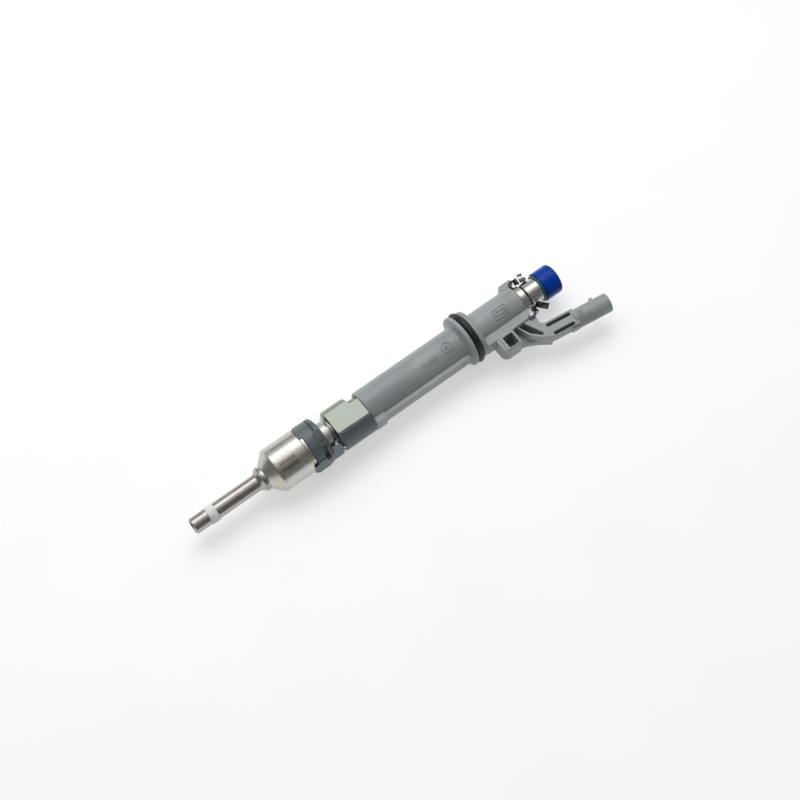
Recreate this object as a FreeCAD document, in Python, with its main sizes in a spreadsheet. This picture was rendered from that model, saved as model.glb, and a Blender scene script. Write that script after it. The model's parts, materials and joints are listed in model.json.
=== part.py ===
import FreeCAD, Part

import math
import os
import re

import Sketcher

# Long gasoline direct-injection fuel injector, lying on its side. Millimetres.
# The injector's axis is the X axis: the spray tip is at x = 0 and the fuel inlet points to +X.
# The connector arm reaches out towards -Y, and +Z is square to the arm's broad faces.
# Names ending in _at are stations along the axis, measured from the tip.
# Each sub-part is drawn from its own station, so its outline starts near zero.

SIZES = {
    # running and assembly gaps
    "running_gap": 0.03,
    "closed_gap": 0.02,
    "fit_gap": 0.1,
    "needle_lift": 0.08,
    "residual_gap": 0.04,
    # nozzle tube
    "stem_radius": 3.75,
    "tip_chamfer": 0.5,
    "seal_at": 7.7,
    "seal_length": 4.15,
    "seal_groove_radius": 3.15,
    "seal_radius": 4.14,
    "flare_at": 33.2,
    "flare_radius": 5.6,
    "disc_at": 35.5,
    "disc_thickness": 0.7,
    "disc_radius": 5.85,
    "spigot_radius": 4.6,
    "spigot_end_at": 41.0,
    "nozzle_bore": 2.95,
    "spigot_bore": 3.6,
    "bore_step_at": 34.5,
    # seat, ball, needle and guides
    "seat_length": 3.4,
    "seat_cup_depth": 1.5,
    "ball_radius": 1.25,
    "ball_flat": 0.25,
    "spray_hole_radius": 0.1,
    "spray_circle": 0.3,
    "spray_holes": 6,
    "seat_recess": 0.35,
    "sac_floor": 0.75,
    "sac_radius": 0.45,
    "seat_mouth": 1.6,
    "guide_length": 1.6,
    "lower_guide_at": 4.6,
    "upper_guide_at": 31.0,
    "guide_port_radius": 0.42,
    "guide_port_circle": 2.0,
    "needle_radius": 1.0,
    "needle_end_at": 47.5,
    # solenoid
    "armature_at": 46.0,
    "armature_length": 7.0,
    "armature_radius": 3.5,
    "armature_bore": 0.7,
    "armature_port_radius": 0.5,
    "armature_port_circle": 2.3,
    "tube_at": 41.0,
    "tube_inner": 3.6,
    "tube_outer": 4.15,
    "tube_length": 25.0,
    "pole_length": 12.8,
    "pole_bore": 1.7,
    "spring_wire": 0.24,
    "spring_coil_radius": 1.3,
    "spring_turns": 6,
    "spring_pitch": 1.1,
    "spring_seat_depth": 1.0,
    "adjuster_length": 4.5,
    "adjuster_bore": 0.9,
    "adjuster_slot": 0.3,
    "bobbin_at": 44.2,
    "bobbin_length": 12.0,
    "bobbin_hub": 4.85,
    "bobbin_flange": 9.0,
    "bobbin_cheek": 1.0,
    "winding_radius": 8.5,
    # coil housing
    "can_at": 36.3,
    "can_neck_radius": 5.0,
    "can_neck_length": 0.6,
    "cone_start_radius": 5.7,
    "cone_length": 4.9,
    "can_radius": 10.41,
    "can_length": 20.65,
    "can_bore": 9.1,
    "can_floor_at": 43.4,
    "washer_thickness": 1.55,
    "washer_radius": 10.12,
    # coil overmold
    "overmold_length": 8.4,
    "overmold_radius": 10.55,
    "band_groove_start": 5.1,
    "band_groove_width": 0.95,
    "band_groove_radius": 9.3,
    "skirt_start_y": 1.5,
    "skirt_end_y": 8.4,
    "tower_start": -2.2,
    "tower_end": 4.9,
    "tower_reach": 11.5,
    "tower_half_width": 3.4,
    "shelf_reach": 10.7,
    "shelf_end": 13.2,
    "shelf_half_width": 3.1,
    "pad_start": 3.9,
    "pad_end": 8.0,
    "pad_half_width": 3.7,
    "pad_top": 10.75,
    "pad_tilt": 16.5,
    "slot_tilt": 59.0,
    "side_slot_start": 4.35,
    "side_slot_width": 1.9,
    "side_slot_half": 3.1,
    "side_slot_floor": 8.9,
    # steel body behind the coil
    "neck_radius": 6.4,
    "neck_end_at": 69.95,
    "waist_radius": 5.0,
    "ring_groove_at": 71.0,
    "ring_thickness": 0.7,
    "ring_groove_radius": 4.6,
    "ring_radius": 7.25,
    "ring_gap": 5.0,
    "block_at": 72.5,
    "block_radius": 9.1,
    "block_length": 11.3,
    "flat_height": 7.45,
    "tongue_half_width": 4.22,
    "tongue_offset": -1.18,
    "rear_neck_radius": 6.64,
    "rear_neck_end_at": 96.0,
    "core_radius": 4.18,
    "fuel_bore": 1.9,
    # conductor duct
    "duct_at": 71.95,
    "duct_length": 17.25,
    "duct_wall": 0.5,
    "duct_chamfer": 1.4,
    "duct_inner": 9.2,
    "duct_outer": 10.9,
    "duct_half_angle": 53.0,
    # conductors and terminals
    "conductor_pitch": 2.54,
    "conductor_thickness": 0.6,
    "conductor_width": 0.8,
    "conductor_start_at": 61.0,
    "conductor_drop": 9.9,
    "conductor_inner_drop": 8.9,
    "pin_length": 6.5,
    "pin_size": 0.64,
    # plastic sleeve
    "sleeve_at": 88.8,
    "sleeve_radius": 8.28,
    "sleeve_bore": 4.93,
    "flange_at": 142.4,
    "flange_radius": 12.16,
    "flange_thickness": 1.8,
    "flange_cone": 1.2,
    "ring_land_radius": 9.55,
    "rear_flange_at": 147.55,
    "rear_flange_radius": 11.53,
    "rear_flange_thickness": 2.25,
    "rear_tube_radius": 7.96,
    "sleeve_end_at": 174.8,
    "rib_reach": 9.83,
    "rib_half_width": 3.1,
    "rib_head_reach": 10.6,
    "rib_head_end_at": 95.0,
    "o_ring_wire": 1.5,
    "o_ring_radius": 12.57,
    # lug, ledge, strut and arm of the sleeve
    "ledge_at": 149.7,
    "ledge_reach": 10.7,
    "ledge_top": 4.5,
    "arm_floor": -5.2,
    "lug_at": 154.2,
    "lug_end_at": 163.6,
    "lug_reach": 18.1,
    "lug_top": 4.7,
    "lug_corner": 3.0,
    "window_at": 157.15,
    "window_length": 5.05,
    "window_start": 11.4,
    "window_width": 5.6,
    "window_depth": 9.2,
    "strut_top": 3.7,
    "gusset_top": -1.5,
    "strut_pocket_floor": -4.4,
    "arm_at": 178.0,
    "arm_drop": 20.6,
    "arm_angle": 7.2,
    "arm_high_side": 4.2,
    "arm_low_side": 3.65,
    "arm_heel": 8.6,
    "arm_half_thickness": 3.7,
    "arm_plate_floor": -2.4,
    "arm_plate_length": 12.6,
    "slot_spread": 2.45,
    "slot_start": -0.95,
    "slot_length": 11.5,
    "slot_width": 1.5,
    "slot_stagger": 0.5,
    "slot_depth": 5.2,
    "barrel_start": 11.5,
    "barrel_end": 29.5,
    "barrel_radius": 4.5,
    "socket_radius": 3.4,
    "socket_depth": 12.0,
    "nub_station": 23.4,
    "nub_radius": 0.8,
    "nub_height": 1.1,
    # clip lug at the inlet end of the sleeve
    "clip_lug_at": 170.3,
    "clip_lug_end_at": 178.1,
    "clip_lug_reach": 10.0,
    "clip_lug_half_width": 3.4,
    # inlet
    "inlet_tube_radius": 4.9,
    "spacer_at": 175.2,
    "spacer_length": 3.2,
    "spacer_radius": 6.49,
    "clip_groove_at": 178.45,
    "clip_groove_width": 1.1,
    "clip_groove_radius": 4.3,
    "head_radius": 5.6,
    "cap_at": 187.3,
    "backup_length": 1.0,
    "backup_radius": 6.55,
    "inlet_groove_at": 188.0,
    "inlet_groove_width": 3.0,
    "inlet_groove_radius": 3.62,
    "inlet_ring_wire": 1.2,
    "inlet_end_at": 193.6,
    "filter_radius": 1.86,
    "filter_length": 8.0,
    "filter_at": 184.5,
    "cap_radius": 7.1,
    "cap_bore": 6.45,
    "cap_length": 8.6,
    "cap_end": 1.3,
    # retaining clip
    "clip_thickness": 0.9,
    "clip_inner": 4.4,
    "clip_outer": 5.35,
    "clip_ear_start": 5.0,
    "clip_ear_reach": 10.4,
    "clip_ear_length": 6.6,
    "clip_ear_height": 1.8,
}

doc = FreeCAD.newDocument("fuel_injector")
sheet = doc.addObject("Spreadsheet::Sheet", "Sizes")
for row, (word, value) in enumerate(SIZES.items(), start=1):
    sheet.set(f"A{row}", word)
    sheet.set(f"B{row}", str(value))
    sheet.setAlias(f"B{row}", word)
doc.recompute()

ALIAS = re.compile(r"\b(" + "|".join(SIZES) + r")\b")
PIECES = []


def bound(text):
    """An expression on the sheet, from words that are its aliases."""
    return ALIAS.sub(r"Sizes.\1", text)


def value_of(text):
    """What such an expression is worth now."""
    result = sheet.evalExpression(bound(text))
    return float(getattr(result, "Value", result))


def bind(thing, prop, text):
    thing.setExpression(prop, bound(text))


class Piece:
    """One sub-part: a PartDesign body whose features are drawn from its own station on the axis."""

    def __init__(self, label, station="0"):
        self.body = doc.addObject("PartDesign::Body", label)
        self.body.Label = label
        bind(self.body, "Placement.Base.x", station)
        self.count = 0
        PIECES.append(self.body)

    def add(self, kind):
        self.count += 1
        short = kind.split("::")[1]
        return self.body.newObject(kind, f"{self.body.Name}_{short}{self.count}")

    def plane(self, role):
        return next(f for f in self.body.Origin.OriginFeatures if f.Role == role)

    def empty_sketch(self, role, height):
        sketch = self.add("Sketcher::SketchObject")
        sketch.AttachmentSupport = [(self.plane(role), "")]
        sketch.MapMode = "FlatFace"
        bind(sketch, "AttachmentOffset.Base.z", height)
        return sketch

    def outline(self, corners, role="XY_Plane", height="0"):
        """A closed outline. A corner is (across, up) or (across, up, rounding), each an expression."""
        sketch = self.empty_sketch(role, height)
        spots = [(value_of(c[0]), value_of(c[1])) for c in corners]
        last = len(corners)
        for i in range(last):
            start = FreeCAD.Vector(*spots[i], 0)
            end = FreeCAD.Vector(*spots[(i + 1) % last], 0)
            sketch.addGeometry(Part.LineSegment(start, end), False)
        for i in range(last):
            sketch.addConstraint(Sketcher.Constraint("Coincident", i, 2, (i + 1) % last, 1))
        for i, corner in enumerate(corners):
            for k, kind in enumerate(("DistanceX", "DistanceY")):
                rule = sketch.addConstraint(Sketcher.Constraint(kind, -1, 1, i, 1, spots[i][k]))
                bind(sketch, f"Constraints[{rule}]", corner[k])
        for i, corner in enumerate(corners):
            if len(corner) == 3:
                self.round_corner(sketch, i, corner[2])
        return sketch

    def round_corner(self, sketch, line, rounding):
        sketch.fillet(line, 1, value_of(rounding), True, True)
        kinds = [type(g) for g in sketch.Geometry]
        arc = max(i for i, kind in enumerate(kinds) if kind is Part.ArcOfCircle)
        rule = sketch.addConstraint(Sketcher.Constraint("Radius", arc, value_of(rounding)))
        bind(sketch, f"Constraints[{rule}]", rounding)

    def circles(self, spots, radius, role="YZ_Plane", height="0"):
        """Circles of one radius, each about (across, up)."""
        sketch = self.empty_sketch(role, height)
        for across, up in spots:
            middle = FreeCAD.Vector(value_of(across), value_of(up), 0)
            ring = Part.Circle(middle, FreeCAD.Vector(0, 0, 1), value_of(radius))
            made = sketch.addGeometry(ring, False)
            for kind, text in (("DistanceX", across), ("DistanceY", up)):
                rule = sketch.addConstraint(Sketcher.Constraint(kind, -1, 1, made, 3, value_of(text)))
                bind(sketch, f"Constraints[{rule}]", text)
            rule = sketch.addConstraint(Sketcher.Constraint("Radius", made, value_of(radius)))
            bind(sketch, f"Constraints[{rule}]", radius)
        return sketch

    def turn(self, corners, kind="PartDesign::Revolution", role="XZ_Plane"):
        """Turns an outline of (along, radius) corners about the axis."""
        sketch = self.outline(corners, role)
        feature = self.add(kind)
        feature.Profile = sketch
        feature.ReferenceAxis = (sketch, ["H_Axis"])
        feature.Angle = 360
        return feature

    def bore(self, corners):
        """Cuts away what an outline sweeps when it turns about the axis."""
        return self.turn(corners, "PartDesign::Groove")

    def pad(self, sketch, thickness, kind="PartDesign::Pad"):
        """Thickens a sketch equally to both sides of its plane."""
        feature = self.add(kind)
        feature.Profile = sketch
        feature.Midplane = True
        bind(feature, "Length", thickness)
        return feature

    def cut(self, sketch, thickness):
        return self.pad(sketch, thickness, "PartDesign::Pocket")

    def slab(self, corners, low, high):
        """A plate with this plan, between two heights."""
        sketch = self.outline(corners, height=f"(({low}) + ({high})) / 2")
        return self.pad(sketch, f"({high}) - ({low})")

    def recess(self, corners, low, high):
        """The space of such a plate, cut away."""
        sketch = self.outline(corners, height=f"(({low}) + ({high})) / 2")
        return self.cut(sketch, f"({high}) - ({low})")


def tilt(sketch, angle, height):
    """Turns a sketch's plane about the axis, towards -Y, and sets it this far from the axis."""
    sketch.AttachmentOffset = FreeCAD.Placement(
        FreeCAD.Vector(), FreeCAD.Rotation(FreeCAD.Vector(1, 0, 0), value_of(angle))
    )
    bind(sketch, "AttachmentOffset.Rotation.Angle", angle)
    bind(sketch, "AttachmentOffset.Base.y", f"-({height}) * sin({angle} * 1 deg)")
    bind(sketch, "AttachmentOffset.Base.z", f"({height}) * cos({angle} * 1 deg)")


def ring(inner, outer, start, end, ease=None):
    """The outline of a plain ring, with its outer corners rounded if ease is given."""
    rounding = () if ease is None else (ease,)
    return [(start, inner), (start, outer, *rounding), (end, outer, *rounding), (end, inner)]


def polar(count, circle):
    """Spots evenly spaced on a circle about the axis, as expressions."""
    spots = []
    for i in range(count):
        turn = f"({i} * 360 / {count}) * 1 deg"
        spots.append((f"{circle} * cos({turn})", f"{circle} * sin({turn})"))
    return spots


def along_arm(station, side):
    """The plan position of a point of the arm: so far along its middle line, so far to its +Y side."""
    x = f"arm_at + ({station}) * cos(arm_angle * 1 deg) + ({side}) * sin(arm_angle * 1 deg)"
    y = f"-arm_drop - ({station}) * sin(arm_angle * 1 deg) + ({side}) * cos(arm_angle * 1 deg)"
    return x, y


def arm_plan(start, end, low_side, high_side, rounding=None):
    """A rectangle lying along the arm, as a plan."""
    ease = () if rounding is None else (rounding,)
    corners = [(start, low_side), (end, low_side), (end, high_side), (start, high_side)]
    return [(*along_arm(*corner), *ease) for corner in corners]


def shifted(corners, station):
    """A plan given from the tip, redrawn from a piece's own station."""
    return [(f"({c[0]}) - {station}", *c[1:]) for c in corners]


# ---- nozzle ----------------------------------------------------------------------------------


def nozzle_tube():
    piece = Piece("nozzle_tube")
    piece.turn([
        ("0", "nozzle_bore"),
        ("0", "stem_radius - tip_chamfer"),
        ("tip_chamfer", "stem_radius"),
        ("seal_at", "stem_radius"),
        ("seal_at", "seal_groove_radius"),
        ("seal_at + seal_length", "seal_groove_radius"),
        ("seal_at + seal_length", "stem_radius"),
        ("flare_at", "stem_radius", "2"),
        ("disc_at - 0.5", "flare_radius"),
        ("disc_at - 0.5", "spigot_radius + 0.25"),
        ("disc_at", "spigot_radius + 0.25"),
        ("disc_at", "spigot_radius"),
        ("spigot_end_at", "spigot_radius"),
        ("spigot_end_at", "spigot_bore"),
        ("bore_step_at", "spigot_bore"),
        ("bore_step_at", "nozzle_bore"),
    ])


def valve_seat():
    """A cup with a conical seat for the ball, a small sac and a circle of spray holes."""
    piece = Piece("valve_seat")
    cup_floor = "(seat_cup_depth + seat_recess + 0.2)"
    piece.turn([
        ("seat_recess", "0"),
        ("seat_recess", "nozzle_bore - 0.25"),
        ("seat_recess + 0.25", "nozzle_bore"),
        ("seat_length + seat_recess", "nozzle_bore"),
        ("seat_length + seat_recess", "seat_mouth"),
        (cup_floor, "seat_mouth"),
        (f"{cup_floor} - (seat_mouth - sac_radius)", "sac_radius"),
        ("sac_floor", "sac_radius"),
        ("sac_floor", "0"),
    ])
    holes = piece.circles(polar(SIZES["spray_holes"], "spray_circle"), "spray_hole_radius")
    piece.cut(holes, "sac_floor * 3")


def needle_guide(label, station):
    """A ring that steers the needle, with ports that let the fuel past."""
    piece = Piece(label, station)
    piece.turn(ring("needle_radius + running_gap", "nozzle_bore", "0", "guide_length"))
    ports = piece.circles(polar(4, "guide_port_circle"), "guide_port_radius", height="guide_length / 2")
    piece.cut(ports, "guide_length * 2")


def ball_station():
    """Where the ball's middle is when it is almost on its 45 degree seat."""
    cone_tip = "(seat_cup_depth + seat_recess + 0.2 - seat_mouth)"
    return f"{cone_tip} + (ball_radius + closed_gap) * sqrt(2)"


def valve_ball():
    piece = Piece("valve_ball", ball_station())
    ball = piece.add("PartDesign::AdditiveSphere")
    bind(ball, "Radius", "ball_radius")
    piece.bore(ring("0", "ball_radius", "ball_radius - ball_flat", "ball_radius + 1"))


def needle_rod():
    start = f"{ball_station()} + ball_radius - ball_flat"
    piece = Piece("needle_rod", start)
    piece.turn([
        ("0", "0"),
        ("0", "needle_radius * 0.7"),
        ("0.3", "needle_radius"),
        (f"needle_end_at - ({start})", "needle_radius"),
        (f"needle_end_at - ({start})", "0"),
    ])


def combustion_seal():
    piece = Piece("combustion_seal", "seal_at")
    piece.turn(ring("seal_groove_radius", "seal_radius", "0.05", "seal_length - 0.05", "0.25"))


def compensation_disc():
    piece = Piece("compensation_disc", "disc_at")
    piece.turn(ring("spigot_radius", "disc_radius", "0", "disc_thickness", "0.2"))


# ---- solenoid --------------------------------------------------------------------------------


def armature():
    piece = Piece("armature", "armature_at")
    piece.turn([
        ("0", "needle_radius"),
        ("0", "armature_radius", "0.3"),
        ("armature_length", "armature_radius", "0.3"),
        ("armature_length", "pole_bore"),
        ("armature_length - spring_seat_depth", "pole_bore"),
        ("armature_length - spring_seat_depth", "armature_bore"),
        ("needle_end_at - armature_at", "armature_bore"),
        ("needle_end_at - armature_at", "needle_radius"),
    ])
    ports = piece.circles(
        polar(4, "armature_port_circle"), "armature_port_radius", height="armature_length / 2"
    )
    piece.cut(ports, "armature_length * 2")


def armature_tube():
    piece = Piece("armature_tube", "tube_at")
    piece.turn(ring("tube_inner", "tube_outer", "0", "tube_length"))


def pole_core():
    piece = Piece("pole_core", "armature_at + armature_length + needle_lift + residual_gap")
    piece.turn(ring("pole_bore", "tube_inner", "0", "pole_length"))


def return_spring():
    """A round-wire spring from the armature's seat to the adjuster sleeve."""
    seat = "armature_at + armature_length - spring_seat_depth"
    piece = Piece("return_spring", f"{seat} + spring_wire + closed_gap")
    wire = piece.circles([("0", "spring_coil_radius")], "spring_wire", role="XZ_Plane")
    coil = piece.add("PartDesign::AdditiveHelix")
    coil.Profile = wire
    coil.ReferenceAxis = (wire, ["H_Axis"])
    coil.Mode = "pitch-turns-angle"
    bind(coil, "Pitch", "spring_pitch")
    bind(coil, "Turns", "spring_turns")


def adjuster_sleeve():
    free_end = "spring_pitch * spring_turns + 2 * spring_wire + 2 * closed_gap"
    piece = Piece("adjuster_sleeve", f"armature_at + armature_length - spring_seat_depth + {free_end}")
    piece.turn(ring("adjuster_bore", "pole_bore", "0", "adjuster_length", "0.2"))
    half = "adjuster_slot / 2"
    end = "adjuster_length + 1"
    slot = [("-1", f"-{half}"), (end, f"-{half}"), (end, half), ("-1", half)]
    piece.recess(slot, "0", "pole_bore * 2")


def coil_bobbin():
    piece = Piece("coil_bobbin", "bobbin_at")
    piece.turn([
        ("0", "tube_outer"),
        ("0", "bobbin_flange"),
        ("bobbin_cheek", "bobbin_flange"),
        ("bobbin_cheek", "bobbin_hub"),
        ("bobbin_length - bobbin_cheek", "bobbin_hub"),
        ("bobbin_length - bobbin_cheek", "bobbin_flange"),
        ("bobbin_length", "bobbin_flange"),
        ("bobbin_length", "tube_outer"),
    ])


def coil_winding():
    piece = Piece("coil_winding", "bobbin_at + bobbin_cheek")
    piece.turn(ring("bobbin_hub", "winding_radius", "0", "bobbin_length - 2 * bobbin_cheek", "0.3"))


def coil_housing():
    piece = Piece("coil_housing", "can_at")
    cone_end = "can_neck_length + cone_length"
    piece.turn([
        ("0", "spigot_radius"),
        ("0", "can_neck_radius"),
        ("can_neck_length", "can_neck_radius"),
        ("can_neck_length", "cone_start_radius", "0.2"),
        (cone_end, "can_radius", "1.6"),
        ("can_length", "can_radius", "0.35"),
        ("can_length", "can_bore"),
        ("can_floor_at - can_at", "can_bore"),
        ("can_floor_at - can_at", "tube_outer"),
        ("spigot_end_at - can_at", "tube_outer"),
        ("spigot_end_at - can_at", "spigot_radius"),
    ])


def flux_washer():
    piece = Piece("flux_washer", "can_at + can_length")
    piece.turn(ring("tube_outer", "washer_radius", "0", "washer_thickness", "0.3"))


# ---- plastic behind the coil -----------------------------------------------------------------


def coil_overmold():
    """The moulded ring, its half skirt over the washer, the terminal tower and the shelf behind it."""
    start = "can_at + can_length + washer_thickness"
    piece = Piece("coil_overmold", start)
    piece.turn([
        ("0", "neck_radius"),
        ("0", "overmold_radius"),
        ("band_groove_start", "overmold_radius"),
        ("band_groove_start", "band_groove_radius"),
        ("band_groove_start + band_groove_width", "band_groove_radius"),
        ("band_groove_start + band_groove_width", "overmold_radius"),
        ("overmold_length - 0.9", "overmold_radius"),
        ("overmold_length", "overmold_radius - 0.9"),
        ("overmold_length", "neck_radius"),
    ])
    disc = piece.circles([("0", "0")], "overmold_radius", height="-washer_thickness / 2 + fit_gap / 2")
    piece.pad(disc, "washer_thickness - fit_gap")
    piece.bore([
        ("-washer_thickness - 1", "0"),
        ("-washer_thickness - 1", "washer_radius"),
        ("0", "washer_radius"),
        ("0", "neck_radius"),
        ("overmold_length + 1", "neck_radius"),
        ("overmold_length + 1", "0"),
    ])
    sides = (("-overmold_radius - 1", "skirt_start_y"), ("skirt_end_y", "overmold_radius + 1"))
    for low, high in sides:
        piece.recess([
            ("-washer_thickness - 1", low),
            ("0", low),
            ("0", high),
            ("-washer_thickness - 1", high),
        ], "-overmold_radius - 1", "overmold_radius + 1")
    piece.slab([
        ("tower_start", "-can_radius - fit_gap"),
        ("tower_start + 1.7", "-tower_reach"),
        ("tower_end", "-tower_reach", "1.5"),
        ("tower_end + 2.4", "-shelf_reach - 0.2"),
        ("tower_end + 2.4", "-neck_radius - 1"),
        ("0", "-neck_radius - 1"),
        ("0", "-can_radius - fit_gap"),
    ], "-tower_half_width", "tower_half_width")
    piece.slab([
        ("overmold_length - 2", "-neck_radius - 1.2"),
        ("overmold_length - 2", "-shelf_reach"),
        ("shelf_end", "-shelf_reach", "0.5"),
        ("shelf_end", "-neck_radius - 1.2"),
    ], "-shelf_half_width", "shelf_half_width")
    pad = piece.outline([
        ("pad_start", "-pad_half_width", "1.6"),
        ("pad_end", "-pad_half_width", "1.6"),
        ("pad_end", "pad_half_width", "1.6"),
        ("pad_start", "pad_half_width", "1.6"),
    ])
    tilt(pad, "pad_tilt", "(pad_top + neck_radius + 1) / 2")
    piece.pad(pad, "pad_top - neck_radius - 1")
    slot = piece.outline([
        ("side_slot_start", "-side_slot_half"),
        ("side_slot_start + side_slot_width", "-side_slot_half"),
        ("side_slot_start + side_slot_width", "side_slot_half"),
        ("side_slot_start", "side_slot_half"),
    ])
    tilt(slot, "slot_tilt", "side_slot_floor + 2")
    piece.cut(slot, "4")
    for side in ("", "-"):
        piece.cut(conductor_plan(piece, start, side), "conductor_width")


def conductor_band(start, grow="0"):
    """The plan of a conductor: beside the steel body, down into the rib, then out along the arm."""
    half = f"(conductor_thickness / 2 + {grow})"
    outer = f"-conductor_drop - {half}"
    inner = f"-conductor_drop + {half}"
    rib_outer = f"-conductor_inner_drop - {half}"
    rib_inner = f"-conductor_inner_drop + {half}"
    end_low = along_arm("barrel_end - socket_depth", f"-{half}")
    end_high = along_arm("barrel_end - socket_depth", half)
    bend_low = along_arm("0", f"-{half}")
    bend_high = along_arm("0", half)
    plan = [
        ("conductor_start_at", outer),
        ("duct_at + duct_length - 0.4", outer),
        ("duct_at + duct_length + 2.6", rib_outer),
        ("arm_at - 6.4", rib_outer),
        ("arm_at - 1.6", "-arm_drop + 3.2"),
        bend_low,
        end_low,
        end_high,
        bend_high,
        ("arm_at - 1.1", "-arm_drop + 3.4"),
        ("arm_at - 6", rib_inner),
        ("duct_at + duct_length + 2.8", rib_inner),
        ("duct_at + duct_length - 0.2", inner),
        ("conductor_start_at", inner),
    ]
    return shifted(plan, f"({start})") if start != "0" else plan


def conductor_plan(piece, start, side):
    return piece.outline(conductor_band(start), height=f"{side}conductor_pitch / 2")


def conductor(label, side):
    piece = Piece(label)
    piece.pad(conductor_plan(piece, "0", side), "conductor_width")


def terminal_pin(label, side):
    """A square pin that stands in the connector's socket, on the end of its conductor."""
    piece = Piece(label)
    half = "pin_size / 2"
    start = "barrel_end - socket_depth"
    plan = [
        along_arm(start, f"-{half}"),
        along_arm(f"{start} + pin_length - 0.8", f"-{half}"),
        along_arm(f"{start} + pin_length", "-0.12"),
        along_arm(f"{start} + pin_length", "0.12"),
        along_arm(f"{start} + pin_length - 0.8", half),
        along_arm(start, half),
    ]
    piece.pad(piece.outline(plan, height=f"{side}conductor_pitch / 2"), "pin_size")


def conductor_duct():
    """A curved shell beside the steel body, with a wall across its front, reaching the sleeve's nose."""
    piece = Piece("conductor_duct", "duct_at")
    sketch = piece.outline([
        ("0", "-neck_radius - 0.2"),
        ("0", "-duct_outer + duct_chamfer", "0.3"),
        ("duct_chamfer", "-duct_outer", "0.3"),
        ("duct_length", "-duct_outer"),
        ("duct_length", "-sleeve_radius - fit_gap"),
        ("sleeve_at - duct_at - fit_gap", "-sleeve_radius - fit_gap"),
        ("sleeve_at - duct_at - fit_gap", "-duct_inner"),
        ("duct_wall", "-duct_inner"),
        ("duct_wall", "-neck_radius - 0.2"),
    ])
    shell = piece.add("PartDesign::Revolution")
    shell.Profile = sketch
    shell.ReferenceAxis = (sketch, ["H_Axis"])
    shell.Midplane = True
    bind(shell, "Angle", "2 * duct_half_angle")
    for side in ("", "-"):
        piece.cut(conductor_plan(piece, "duct_at", side), "conductor_width")


# ---- steel body and ring ---------------------------------------------------------------------


def carrier_block():
    """The steel body: neck with ring groove, round body with two wrench flats, and a tongue."""
    start = "can_at + can_length + washer_thickness"
    piece = Piece("carrier_block", start)
    here = f"({start})"
    piece.turn([
        ("0", "core_radius"),
        ("0", "neck_radius"),
        (f"neck_end_at - {here}", "neck_radius"),
        (f"neck_end_at - {here}", "waist_radius"),
        (f"ring_groove_at - {here}", "waist_radius"),
        (f"ring_groove_at - {here}", "ring_groove_radius"),
        (f"ring_groove_at + ring_thickness - {here}", "ring_groove_radius"),
        (f"ring_groove_at + ring_thickness - {here}", "waist_radius"),
        (f"block_at - {here}", "waist_radius"),
        (f"block_at - {here}", "block_radius", "0.4"),
        (f"block_at + block_length - {here}", "block_radius", "1.2"),
        (f"block_at + block_length + 1.2 - {here}", "rear_neck_radius", "1.8"),
        (f"rear_neck_end_at - {here}", "rear_neck_radius", "0.3"),
        (f"rear_neck_end_at - {here}", "fuel_bore"),
        (f"tube_at + tube_length + 0.2 - {here}", "fuel_bore"),
        (f"tube_at + tube_length + 0.2 - {here}", "core_radius"),
    ])
    for side in ("", "-"):
        flat = piece.outline([
            (f"block_at - 1 - {here}", "-block_radius - 1"),
            (f"block_at + block_length + 1 - {here}", "-block_radius - 1"),
            (f"block_at + block_length + 1 - {here}", "block_radius + 1"),
            (f"block_at - 1 - {here}", "block_radius + 1"),
        ], height=f"{side}(flat_height + 1.5)")
        piece.cut(flat, "3")
    piece.slab([
        (f"block_at + block_length - 3 - {here}", "tongue_offset - tongue_half_width"),
        (f"sleeve_at - fit_gap - {here}", "tongue_offset - tongue_half_width"),
        (f"sleeve_at - fit_gap - {here}", "tongue_offset + tongue_half_width"),
        (f"block_at + block_length + 1.1 - {here}", "tongue_offset + tongue_half_width", "2"),
        (f"block_at + block_length - 1.4 - {here}", "tongue_offset + tongue_half_width + 2.2", "1"),
        (f"block_at + block_length - 3 - {here}", "tongue_offset + tongue_half_width + 2.2"),
    ], "0", "flat_height")


def snap_ring():
    piece = Piece("snap_ring", "ring_groove_at")
    piece.turn(ring("ring_groove_radius", "ring_radius", "0.05", "ring_thickness - 0.05", "0.2"))
    gap = [
        ("-1", "-ring_gap / 2"),
        ("ring_thickness + 1", "-ring_gap / 2"),
        ("ring_thickness + 1", "ring_gap / 2"),
        ("-1", "ring_gap / 2"),
    ]
    piece.recess(gap, "-ring_radius - 1", "0")


# ---- plastic sleeve --------------------------------------------------------------------------


def sleeve_body(piece):
    """The turned sleeve with its two flanges and the seat of the large ring between them."""
    piece.turn([
        ("0", "0"),
        ("0", "sleeve_radius - 0.5"),
        ("0.5", "sleeve_radius"),
        ("flange_at - flange_cone - sleeve_at", "sleeve_radius", "0.8"),
        ("flange_at - sleeve_at", "flange_radius", "0.4"),
        ("flange_at + flange_thickness - sleeve_at", "flange_radius", "0.4"),
        ("flange_at + flange_thickness - sleeve_at", "ring_land_radius"),
        ("rear_flange_at - sleeve_at", "ring_land_radius"),
        ("rear_flange_at - sleeve_at", "rear_flange_radius", "0.4"),
        ("rear_flange_at + rear_flange_thickness - sleeve_at", "rear_flange_radius", "0.5"),
        ("rear_flange_at + rear_flange_thickness - sleeve_at", "rear_tube_radius", "0.6"),
        ("sleeve_end_at - sleeve_at", "rear_tube_radius", "0.5"),
        ("sleeve_end_at - sleeve_at", "0"),
    ])


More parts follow.
